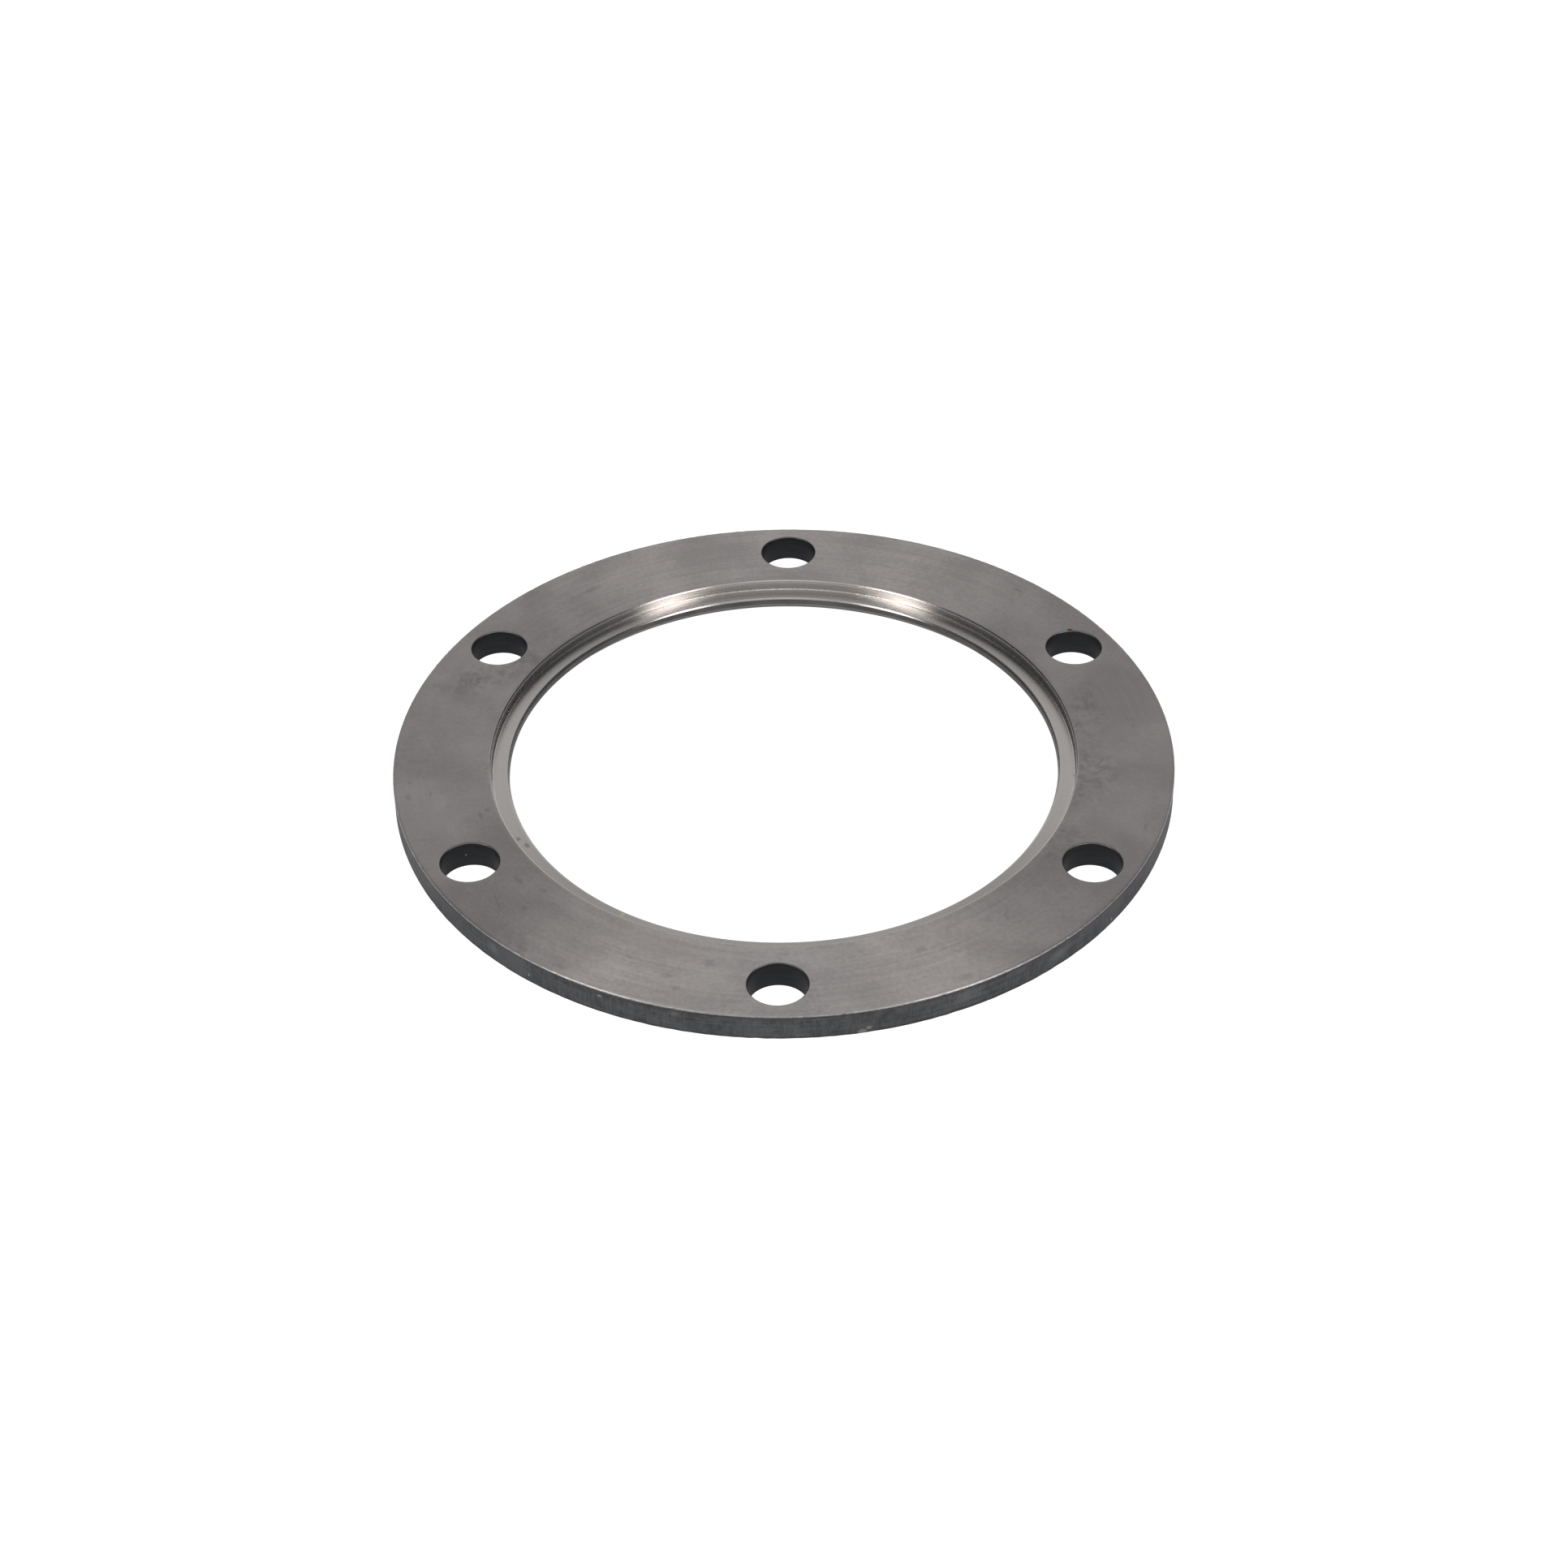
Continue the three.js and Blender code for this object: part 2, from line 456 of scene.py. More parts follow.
def make_mesh(name, shell, materials):
    """Puts the gathered parts into one smooth closed mesh, in metres."""
    loops = np.concatenate([faces.reshape(-1) for faces in shell.faces])
    sides = np.concatenate([np.full(len(faces), faces.shape[1]) for faces in shell.faces])
    starts = np.concatenate([[0], np.cumsum(sides)[:-1]])
    mesh = bpy.data.meshes.new(name)
    mesh.vertices.add(len(shell.points))
    mesh.vertices.foreach_set("co", (shell.points * MM).astype(np.float32).reshape(-1))
    mesh.loops.add(len(loops))
    mesh.loops.foreach_set("vertex_index", loops.astype(np.int32))
    mesh.polygons.add(len(sides))
    mesh.polygons.foreach_set("loop_start", starts.astype(np.int32))
    mesh.polygons.foreach_set("material_index", np.concatenate(shell.finishes).astype(np.int32))
    mesh.polygons.foreach_set("use_smooth", np.ones(len(sides), bool))
    for material in materials:
        mesh.materials.append(material)
    lay = mesh.uv_layers.new(name="lay")
    spread = [lay_of_the_cut(shell.points, faces, local).reshape(-1)
              for faces, local in zip(shell.faces, shell.local)]
    lay.data.foreach_set("uv", np.concatenate(spread).astype(np.float32))
    gap = mesh.attributes.new("edge_gap", "FLOAT", "POINT")
    gap.data.foreach_set("value", edge_distance(shell.points).astype(np.float32))
    mesh.update()
    mesh.validate()
    piece = bpy.data.objects.new(name, mesh)
    bpy.context.scene.collection.objects.link(piece)
    return piece


# Finishes of the flange. Each is bare or oxidised steel that shows how that surface was made:
# tool marks that run round the ring, soft stains, fine scratches, and bright worn edges with a
# painted highlight on them.
def add_node(tree, kind, values=None, **settings):
    """A new node with its settings, and its inputs set to numbers or linked to sockets."""
    node = tree.nodes.new(kind)
    for name, value in settings.items():
        setattr(node, name, value)
    for key, value in (values or {}).items():
        if isinstance(value, bpy.types.NodeSocket):
            tree.links.new(value, node.inputs[key])
        else:
            node.inputs[key].default_value = value
    return node


def reckon(tree, operation, *values):
    """The result of one math node."""
    node = add_node(tree, "ShaderNodeMath", dict(enumerate(values)), operation=operation)
    return node.outputs[0]


def reckon_vector(tree, operation, *values):
    """The vector result of one vector math node."""
    node = add_node(tree, "ShaderNodeVectorMath", dict(enumerate(values)), operation=operation)
    return node.outputs[0]


def reckon_length(tree, vector):
    """The length of a vector."""
    node = add_node(tree, "ShaderNodeVectorMath", {0: vector}, operation="LENGTH")
    return node.outputs["Value"]


def turn_about_axis(tree, vector, angle):
    """A vector turned about the ring's axis."""
    values = {"Vector": vector, "Angle": angle}
    node = add_node(tree, "ShaderNodeVectorRotate", values, rotation_type="Z_AXIS")
    return node.outputs[0]


def rescale(tree, value, low, high, to_low=0.0, to_high=1.0):
    """Eases a value from the range low..high to the range to_low..to_high."""
    values = {"Value": value, "From Min": low, "From Max": high,
              "To Min": to_low, "To Max": to_high}
    node = add_node(tree, "ShaderNodeMapRange", values, interpolation_type="SMOOTHSTEP")
    return node.outputs[0]


def mix_colour(tree, amount, first, second):
    """Two colours mixed by an amount."""
    node = add_node(tree, "ShaderNodeMix", {0: amount, 6: first, 7: second}, data_type="RGBA")
    return node.outputs[2]


def cloud(tree, vector, scale, detail=3.0, roughness=0.55, distortion=0.0):
    """The grey value of a noise texture."""
    values = {"Vector": vector, "Scale": scale, "Detail": detail, "Roughness": roughness,
              "Distortion": distortion}
    return add_node(tree, "ShaderNodeTexNoise", values).outputs[0]


def new_group(name, takes, gives):
    """An empty node group. takes is {socket: start value}, a number or a vector; gives is
    {socket: kind}. Returns the group, the sockets that bring values in and those going out."""
    group = bpy.data.node_groups.new(name, "ShaderNodeTree")
    for label, value in takes.items():
        kind = "NodeSocketFloat" if isinstance(value, float) else "NodeSocketVector"
        group.interface.new_socket(label, in_out="INPUT", socket_type=kind).default_value = value
    for label, kind in gives.items():
        group.interface.new_socket(label, in_out="OUTPUT", socket_type=kind)
    entry = group.nodes.new("NodeGroupInput")
    leave = group.nodes.new("NodeGroupOutput")
    return group, entry.outputs, leave.inputs


def use_group(tree, group, **values):
    """Places a group in a tree, with its inputs set or linked, and gives back its outputs."""
    return add_node(tree, "ShaderNodeGroup", values, node_tree=group).outputs


def ring_place_group():
    """Where a point is on the ring, in millimetres: its place, radius, height, the distance
    across the section that is constant along a tool mark, and its heading from the axis."""
    gives = {"Place": "NodeSocketVector", "Radius": "NodeSocketFloat",
             "Height": "NodeSocketFloat", "Across": "NodeSocketFloat",
             "Heading": "NodeSocketVector"}
    group, _, out = new_group("ring place", {}, gives)
    spot = group.nodes.new("ShaderNodeTexCoord").outputs["Object"]
    place = reckon_vector(group, "MULTIPLY", spot, (1 / MM, 1 / MM, 1 / MM))
    flat = reckon_vector(group, "MULTIPLY", place, (1, 1, 0))
    length = reckon_length(group, flat)
    height = add_node(group, "ShaderNodeSeparateXYZ", {0: place}).outputs["Z"]
    across = reckon(group, "MULTIPLY_ADD", height, HEIGHT_SHARE, length)
    group.links.new(place, out["Place"])
    group.links.new(length, out["Radius"])
    group.links.new(height, out["Height"])
    group.links.new(across, out["Across"])
    group.links.new(reckon_vector(group, "NORMALIZE", flat), out["Heading"])
    return group


RING_PLACE = ring_place_group()


def tool_marks_group():
    """Marks of the lathe tool: noise that is fine across the section and long round it."""
    takes = {"Fineness": 2.0, "Turns": 8.0}
    group, put, out = new_group("tool marks", takes, {"Marks": "NodeSocketFloat"})
    place = use_group(group, RING_PLACE)
    around = add_node(group, "ShaderNodeVectorMath", {0: place["Heading"]}, operation="SCALE")
    group.links.new(put["Turns"], around.inputs["Scale"])
    across = reckon(group, "MULTIPLY", place["Across"], put["Fineness"])
    lift = add_node(group, "ShaderNodeCombineXYZ", {2: across}).outputs[0]
    vector = reckon_vector(group, "ADD", around.outputs[0], lift)
    group.links.new(cloud(group, vector, 1.0, 5.0, 0.65), out["Marks"])
    return group


TOOL_MARKS = tool_marks_group()


def stains_group():
    """Soft stains and handling marks: broad clouds, and small smudges gathered in patches."""
    takes = {"Size": 20.0, "Seed": 0.0}
    gives = {"Clouds": "NodeSocketFloat", "Smudges": "NodeSocketFloat"}
    group, put, out = new_group("stains", takes, gives)
    place = use_group(group, RING_PLACE)["Place"]
    shifted = reckon_vector(group, "ADD", place, put["Seed"])
    scale = reckon(group, "DIVIDE", 1.0, put["Size"])
    clouds = cloud(group, shifted, scale, 4.0, 0.5, 0.3)
    broad = cloud(group, shifted, reckon(group, "MULTIPLY", scale, 0.8), 2.0)
    patches = rescale(group, broad, 0.5, 0.72)
    small = cloud(group, shifted, reckon(group, "MULTIPLY", scale, 9.0), 5.0, 0.7, 0.6)
    smudges = reckon(group, "MULTIPLY", patches, rescale(group, small, 0.42, 0.7))
    group.links.new(clouds, out["Clouds"])
    group.links.new(smudges, out["Smudges"])
    return group


STAINS = stains_group()


def scratches_group():
    """Fine straight scratches in two directions, broken up so that each is short."""
    takes = {"Lean": 0.4, "Seed": 0.0}
    group, put, out = new_group("scratches", takes, {"Scratches": "NodeSocketFloat"})
    place = use_group(group, RING_PLACE)["Place"]
    shifted = reckon_vector(group, "ADD", place, put["Seed"])
    total = None
    for turn in (0.0, 1.25):
        lean = reckon(group, "ADD", put["Lean"], turn)
        turned_place = turn_about_axis(group, shifted, lean)
        drawn_out = reckon_vector(group, "MULTIPLY", turned_place, (0.05, 1.4, 0.6))
        level = reckon(group, "SUBTRACT", cloud(group, drawn_out, 1.0, 2.0), 0.5)
        thin = rescale(group, reckon(group, "ABSOLUTE", level), 0.0, 0.012, 1.0, 0.0)
        seldom = rescale(group, cloud(group, turned_place, 0.11, 2.0), 0.56, 0.7)
        here = reckon(group, "MULTIPLY", thin, seldom)
        total = here if total is None else reckon(group, "MAXIMUM", total, here)
    group.links.new(total, out["Scratches"])
    return group


SCRATCHES = scratches_group()


def edge_wear_and_highlight_group():
    """Bright worn metal along the edges, with a painted highlight on them: full on the edge and
    gone within the width, which noise makes ragged."""
    takes = {"Width": 0.5, "Raggedness": 0.6, "Fineness": 1.5}
    group, put, out = new_group("edge wear and highlight", takes, {"Wear and highlight": "NodeSocketFloat"})
    gap = add_node(group, "ShaderNodeAttribute", attribute_name="edge_gap").outputs["Fac"]
    place = use_group(group, RING_PLACE)["Place"]
    ragged = reckon(group, "SUBTRACT", cloud(group, place, put["Fineness"], 4.0, 0.7), 0.5)
    pull = reckon(group, "MULTIPLY", ragged, put["Raggedness"])
    reach = reckon(group, "ADD", gap, pull)
    group.links.new(rescale(group, reach, put["Width"], 0.0), out["Wear and highlight"])
    return group


EDGE_WEAR_AND_HIGHLIGHT = edge_wear_and_highlight_group()


def spot_group():
    """One mark on the ring: an oval round its centre, turned about the axis by its angle, in
    millimetres. Grain roughens its outline and Softness widens its fading edge."""
    takes = {"Centre": (0.0, 0.0, 0.0), "Reach": (1.0, 1.0, 1.0), "Turn": 0.0,
             "Grain": 0.5, "Raggedness": 0.8, "Softness": 0.45}
    group, put, out = new_group("spot", takes, {"Mask": "NodeSocketFloat"})
    place = use_group(group, RING_PLACE)["Place"]
    away = reckon_vector(group, "SUBTRACT", place, put["Centre"])
    back = reckon(group, "MULTIPLY", put["Turn"], -1.0)
    squared = turn_about_axis(group, away, back)
    scaled = reckon_vector(group, "DIVIDE", squared, put["Reach"])
    length = reckon_length(group, scaled)
    ragged = reckon(group, "SUBTRACT", put["Grain"], 0.5)
    edge = reckon(group, "MULTIPLY_ADD", ragged, put["Raggedness"], length)
    inner = reckon(group, "SUBTRACT", 1.0, put["Softness"])
    group.links.new(rescale(group, edge, 1.0, inner), out["Mask"])
    return group


SPOT = spot_group()


def marks(tree, places, raggedness=0.8, softness=0.45, lean=0.0, fineness=2.2):
    """One mask for several marks. Each is (angle in degrees, radius, height, reach outwards,
    reach round the ring, reach upwards), in millimetres; lean turns them all on the spot."""
    grain = cloud(tree, use_group(tree, RING_PLACE)["Place"], fineness, 4.0, 0.7)
    total = None
    for degrees, radius, height, *reach in places:
        turn = math.radians(degrees)
        centre = (radius * math.cos(turn), radius * math.sin(turn), height)
        mask = use_group(tree, SPOT, Centre=centre, Reach=reach, Turn=turn + lean, Grain=grain,
                         Raggedness=raggedness, Softness=softness)["Mask"]
        total = mask if total is None else reckon(tree, "MAXIMUM", total, mask)
    return total


def steel(name, anisotropy=0.0):
    """A metal material, its tree and its shader. Where the grooves stretch the highlights,
    their direction comes from the texture map."""
    material = bpy.data.materials.new(name)
    material.use_nodes = True
    tree = material.node_tree
    shader = tree.nodes["Principled BSDF"]
    shader.inputs["Metallic"].default_value = 1.0
    shader.inputs["Anisotropic"].default_value = anisotropy
    if anisotropy:
        tangent = add_node(tree, "ShaderNodeTangent", direction_type="UV_MAP", uv_map="lay")
        tree.links.new(tangent.outputs[0], shader.inputs["Tangent"])
    return material, tree, shader


def bump(tree, shader, height, depth):
    """Feeds a height into the shader's normal; depth is in millimetres."""
    values = {"Height": height, "Strength": 1.0, "Distance": depth * MM}
    node = add_node(tree, "ShaderNodeBump", values)
    tree.links.new(node.outputs[0], shader.inputs["Normal"])


def faced_steel():
    """The two turned faces: dull grey steel, stained by handling, with faint tool marks, small
    dark smudges, one long scratch and two short ones, and a speck of rust beside a hole."""
    smudged = [
        (188.0, 105.3, THICKNESS, 0.9, 0.7, 1), (191.4, 106.3, THICKNESS, 0.9, 2.0, 1),
        (191.1, 99.9, THICKNESS, 0.5, 1.7, 1), (198.0, 85.8, THICKNESS, 1.0, 1.6, 1),
        (199.4, 88.0, THICKNESS, 0.8, 3.0, 1), (218.6, 90.3, THICKNESS, 1.2, 3.2, 1),
        (223.6, 87.8, THICKNESS, 1.2, 1.6, 1), (224.8, 96.0, THICKNESS, 1.3, 1.8, 1),
        (231.2, 107.6, THICKNESS, 1.2, 3.5, 1), (237.9, 107.2, THICKNESS, 1.2, 3.0, 1),
        (245.8, 95.5, THICKNESS, 0.6, 1.4, 1), (253.0, 98.6, THICKNESS, 1.4, 2.2, 1),
        (255.0, 102.6, THICKNESS, 1.8, 2.0, 1), (258.6, 91.4, THICKNESS, 2.6, 3.0, 1),
        (282.2, 96.5, THICKNESS, 0.8, 0.7, 1), (294.0, 91.8, THICKNESS, 1.5, 2.6, 1),
        (297.4, 106.6, THICKNESS, 1.8, 3.4, 1), (341.4, 105.3, THICKNESS, 0.6, 3.0, 1),
        (127.0, 98.0, THICKNESS, 1.5, 4.0, 1), (48.0, 104.0, THICKNESS, 0.9, 3.0, 1),
    ]
    rusty = [(34.3, 101.4, THICKNESS, 1.1, 1.0, 1.2)]
    single_scratches = [
        (220.3, 99.6, THICKNESS, 0.14, 6.2, 1), (356.4, 89.0, THICKNESS, 0.12, 2.2, 1),
        (357.0, 89.8, THICKNESS, 0.1, 1.6, 1),
    ]
    material, tree, shader = steel("faced steel", anisotropy=0.8)
    place = use_group(tree, RING_PLACE)["Place"]
    tool = use_group(tree, TOOL_MARKS, Fineness=0.9, Turns=2.0)["Marks"]
    mottle = cloud(tree, place, 0.75, 5.0, 0.7, 0.3)
    stains = use_group(tree, STAINS, Size=22.0, Seed=3.0)
    scratches = use_group(tree, SCRATCHES, Lean=0.5, Seed=40.0)["Scratches"]
    wear_and_highlight = use_group(tree, EDGE_WEAR_AND_HIGHLIGHT, Width=0.26, Raggedness=0.08, Fineness=1.2)["Wear and highlight"]
    shade = reckon(tree, "MULTIPLY_ADD", tool, 0.5, reckon(tree, "MULTIPLY", mottle, 0.6))
    shade = reckon(tree, "MULTIPLY_ADD", stains["Clouds"], 0.8, shade)
    base = mix_colour(tree, rescale(tree, shade, 0.72, 1.18),
                      (0.502, 0.475, 0.468, 1), (0.688, 0.655, 0.644, 1))
    stained = mix_colour(tree, reckon(tree, "MULTIPLY", stains["Smudges"], 0.45), base,
                         (0.42, 0.405, 0.41, 1))
    scratched = mix_colour(tree, reckon(tree, "MULTIPLY", scratches, 0.3), stained,
                           (0.72, 0.70, 0.69, 1))
    grime = marks(tree, smudged, raggedness=1.7, softness=0.9, fineness=1.0)
    dulled = mix_colour(tree, reckon(tree, "MULTIPLY", grime, 0.42), scratched,
                        (0.33, 0.32, 0.335, 1))
    scored = marks(tree, single_scratches, raggedness=0.5, softness=0.6, lean=-0.38)
    cut = mix_colour(tree, reckon(tree, "MULTIPLY", scored, 0.5), dulled, (0.30, 0.30, 0.31, 1))
    # Painted highlight along the edges, on top of their worn bright metal.
    worn_and_highlighted = mix_colour(tree, reckon(tree, "MULTIPLY", wear_and_highlight, 0.4), cut, (0.72, 0.70, 0.685, 1))
    rust = marks(tree, rusty, raggedness=0.9)
    rusted = mix_colour(tree, rust, worn_and_highlighted, (0.19, 0.055, 0.040, 1))
    tree.links.new(rusted, shader.inputs["Base Color"])
    tree.links.new(reckon(tree, "SUBTRACT", 1.0, rust), shader.inputs["Metallic"])
    rough = rescale(tree, reckon(tree, "MULTIPLY_ADD", mottle, 0.5, tool), 0.5, 1.0, 0.40, 0.49)
    rough = reckon(tree, "MULTIPLY_ADD", stains["Smudges"], 0.10, rough)
    rough = reckon(tree, "MULTIPLY_ADD", wear_and_highlight, -0.08, rough)
    tree.links.new(reckon(tree, "MAXIMUM", rough, rust), shader.inputs["Roughness"])
    height = reckon(tree, "MULTIPLY_ADD", scratches, -0.8, tool)
    height = reckon(tree, "MULTIPLY_ADD", scored, -2.0, height)
    bump(tree, shader, height, 0.012)
    return material


def bored_steel():
    """The recess: bright steel fresh from the boring tool, with faint long tool marks, a painted
    highlight along the corner, a few small nicks on the shoulder and one pale dried drop."""
    nicked = [
        (169.9, 81.2, SHOULDER_HEIGHT, 0.35, 0.3, 1),
        (275.0, 78.6, SHOULDER_HEIGHT, 1.1, 0.14, 1),
        (354.9, 81.9, SHOULDER_HEIGHT, 0.3, 0.5, 1), (356.0, 81.5, SHOULDER_HEIGHT, 0.25, 0.3, 1),
        (206.0, 80.6, SHOULDER_HEIGHT, 1.0, 1.1, 1), (208.6, 79.6, SHOULDER_HEIGHT, 0.9, 1.6, 1),
    ]
    dried = [(237.8, 78.9, SHOULDER_HEIGHT, 1.5, 0.62, 1)]
    material, tree, shader = steel("bored steel", anisotropy=0.88)
    place = use_group(tree, RING_PLACE)
    tool = use_group(tree, TOOL_MARKS, Fineness=1.1, Turns=0.35)["Marks"]
    stains = use_group(tree, STAINS, Size=14.0, Seed=11.0)
    wear_and_highlight = use_group(tree, EDGE_WEAR_AND_HIGHLIGHT, Width=0.5, Raggedness=0.1, Fineness=1.5)["Wear and highlight"]
    base = mix_colour(tree, rescale(tree, tool, 0.3, 0.7),
                      (0.66, 0.635, 0.62, 1), (0.71, 0.685, 0.668, 1))
    stained = mix_colour(tree, reckon(tree, "MULTIPLY", stains["Smudges"], 0.2), base,
                         (0.46, 0.45, 0.45, 1))
    # Painted highlight on the chamfer edges, on top of their worn bright metal.
    worn_and_highlighted = mix_colour(tree, reckon(tree, "MULTIPLY", wear_and_highlight, 0.75), stained, (0.86, 0.84, 0.82, 1))
    # Painted highlight: a near-white line along the inner corner of the recess, broken up by
    # noise.
    across = reckon(tree, "SUBTRACT", place["Radius"], RECESS_RADIUS - CORNER_REACH / 4)
    above = reckon(tree, "SUBTRACT", place["Height"], SHOULDER_HEIGHT + CORNER_REACH / 4)
    squared = reckon(tree, "MULTIPLY_ADD", above, above, reckon(tree, "MULTIPLY", across, across))
    corner = rescale(tree, reckon(tree, "SQRT", squared), CORNER_REACH * 0.9, CORNER_REACH * 0.5)
    corner_highlight_grain = rescale(tree, cloud(tree, place["Place"], 1.6, 3.0, 0.7), 0.38, 0.62, 0.25, 1.0)
    corner_highlighted = mix_colour(tree, reckon(tree, "MULTIPLY", corner, corner_highlight_grain), worn_and_highlighted, (1.0, 0.97, 0.94, 1))
    nicks = marks(tree, nicked, raggedness=1.3, softness=0.8)
    dented = mix_colour(tree, reckon(tree, "MULTIPLY", nicks, 0.35), corner_highlighted, (0.16, 0.16, 0.17, 1))
    drop = marks(tree, dried, raggedness=0.7)
    spotted = mix_colour(tree, drop, dented, (0.72, 0.72, 0.56, 1))
    tree.links.new(spotted, shader.inputs["Base Color"])
    tree.links.new(reckon(tree, "MULTIPLY_ADD", drop, -0.7, 1.0), shader.inputs["Metallic"])
    rough = rescale(tree, tool, 0.3, 0.7, 0.262, 0.278)
    rough = reckon(tree, "MULTIPLY_ADD", nicks, 0.1, rough)
    tree.links.new(reckon(tree, "MULTIPLY_ADD", drop, 0.3, rough), shader.inputs["Roughness"])
    bump(tree, shader, tool, 0.002)
    return material


def land_steel():
    """The lower bore and its chamfer: turned too, and dulled; their dark colour is painted shade.
    """
    material, tree, shader = steel("bore land steel", anisotropy=0.5)
    tool = use_group(tree, TOOL_MARKS, Fineness=3.0, Turns=3.0)["Marks"]
    stains = use_group(tree, STAINS, Size=12.0, Seed=21.0)
    wear_and_highlight = use_group(tree, EDGE_WEAR_AND_HIGHLIGHT, Width=0.35, Raggedness=0.3, Fineness=1.5)["Wear and highlight"]
    # Painted shade: the lower bore is coloured dark to stand for the shade inside the bore.
    base = mix_colour(tree, rescale(tree, stains["Clouds"], 0.3, 0.7),
                      (0.125, 0.123, 0.123, 1), (0.175, 0.17, 0.168, 1))
    # Painted highlight along the edges, on top of their worn bright metal.
    worn_and_highlighted = mix_colour(tree, reckon(tree, "MULTIPLY", wear_and_highlight, 0.6), base, (0.5, 0.49, 0.48, 1))
    tree.links.new(worn_and_highlighted, shader.inputs["Base Color"])
    tree.links.new(rescale(tree, tool, 0.3, 0.7, 0.36, 0.46), shader.inputs["Roughness"])
    bump(tree, shader, tool, 0.01)
    return material


def rim_steel():
    """The outer edge as it was cut: dark grey scale, faintly blue, with upright streaks, dark
    notches under the upper edge and an olive foot. It is paler in patches, with a few
    bright nicks, a tan chip and a brown one. Its upper edge is lighter than its lower one: worn
    metal with a painted highlight."""
    pale_patch_places = [
        (226.5, OUTER_RADIUS, 4.4, 2, 3.2, 2.6), (296.5, OUTER_RADIUS, 4.6, 2, 7.0, 3.2),
        (256.0, OUTER_RADIUS, 6.2, 2, 1.8, 1.5), (312.0, OUTER_RADIUS, 4.0, 2, 5.0, 2.6),
    ]
    bright_nicks = [
        (245.1, OUTER_RADIUS, 5.85, 1, 0.75, 0.35), (323.8, OUTER_RADIUS, 1.95, 1, 0.35, 0.6),
        (233.3, OUTER_RADIUS, 2.6, 1, 0.3, 0.5),
    ]
    tan_chip = [
        (281.5, OUTER_RADIUS, 0.9, 1, 1.5, 1.0), (282.4, OUTER_RADIUS, 1.9, 1, 1.0, 0.8),
    ]
    brown_chip = [(324.5, OUTER_RADIUS, 1.4, 1, 0.9, 0.5)]
    material, tree, shader = steel("rim scale")
    place = use_group(tree, RING_PLACE)
    mottle = cloud(tree, place["Place"], 0.5, 5.0, 0.65, 0.3)
    upright = reckon_vector(tree, "MULTIPLY", place["Place"], (1.9, 1.9, 0.22))
    streaks = cloud(tree, upright, 1.0, 3.0, 0.6)
    scuffs = use_group(tree, TOOL_MARKS, Fineness=0.9, Turns=5.0)["Marks"]
    stains = use_group(tree, STAINS, Size=16.0, Seed=31.0)
    wear_and_highlight = use_group(tree, EDGE_WEAR_AND_HIGHLIGHT, Width=0.48, Raggedness=0.34, Fineness=1.3)["Wear and highlight"]
    shade = reckon(tree, "MULTIPLY_ADD", mottle, 0.7, reckon(tree, "MULTIPLY", streaks, 0.35))
    shade = reckon(tree, "MULTIPLY_ADD", scuffs, 0.45, shade)
    base = mix_colour(tree, rescale(tree, shade, 0.55, 0.95),
                      (0.074, 0.077, 0.084, 1), (0.168, 0.173, 0.184, 1))
    clouded = mix_colour(tree, rescale(tree, stains["Clouds"], 0.45, 0.75, 0.0, 0.6), base,
                         (0.19, 0.195, 0.20, 1))
    # Paler patches, with the smudges mixed into them.
    pale_patches = marks(tree, pale_patch_places, raggedness=1.8, softness=1.0)
    pale_patches = reckon(tree, "MULTIPLY", pale_patches, 0.45)
    pale_patches = reckon(tree, "MULTIPLY_ADD", stains["Smudges"], 0.3, pale_patches)
    paler_patched = mix_colour(tree, pale_patches, clouded, (0.28, 0.285, 0.295, 1))
    under_edge = rescale(tree, place["Height"], THICKNESS - 1.5, THICKNESS - 0.6)
    notches = reckon(tree, "MULTIPLY", under_edge, rescale(tree, streaks, 0.46, 0.60, 0.25, 1.0))
    notched = mix_colour(tree, reckon(tree, "MULTIPLY", notches, 0.6), paler_patched,
                         (0.055, 0.050, 0.055, 1))
    foot = rescale(tree, reckon(tree, "MULTIPLY_ADD", mottle, 1.8, place["Height"]), 2.3, 1.0)
    footed = mix_colour(tree, reckon(tree, "MULTIPLY", foot, 0.75), notched,
                        (0.062, 0.058, 0.046, 1))
    # Painted highlight: the upper edge gets more of the bright edge colour than the lower one, on
    # top of its worn metal.
    upper = rescale(tree, place["Height"], THICKNESS - 2, THICKNESS - 1, 0.2, 1.0)
    worn_and_highlighted = mix_colour(tree, reckon(tree, "MULTIPLY", wear_and_highlight, upper), footed,
                      (0.88, 0.86, 0.84, 1))
    nicked = mix_colour(tree, marks(tree, bright_nicks, lean=0.3), worn_and_highlighted, (0.4, 0.41, 0.42, 1))
    tan = marks(tree, tan_chip, raggedness=1.2)
    brown = marks(tree, brown_chip, raggedness=1.0)
    chipped = mix_colour(tree, tan, nicked, (0.26, 0.235, 0.185, 1))
    chipped_twice = mix_colour(tree, brown, chipped, (0.17, 0.10, 0.08, 1))
    tree.links.new(chipped_twice, shader.inputs["Base Color"])
    dull = reckon(tree, "MAXIMUM", tan, brown)
    tree.links.new(reckon(tree, "MULTIPLY_ADD", dull, -0.9, 1.0), shader.inputs["Metallic"])
    rough = rescale(tree, mottle, 0.3, 0.7, 0.48, 0.62)
    tree.links.new(reckon(tree, "MULTIPLY_ADD", wear_and_highlight, -0.15, rough), shader.inputs["Roughness"])
    bump(tree, shader, reckon(tree, "MULTIPLY_ADD", mottle, 0.8, streaks), 0.04)
    return material


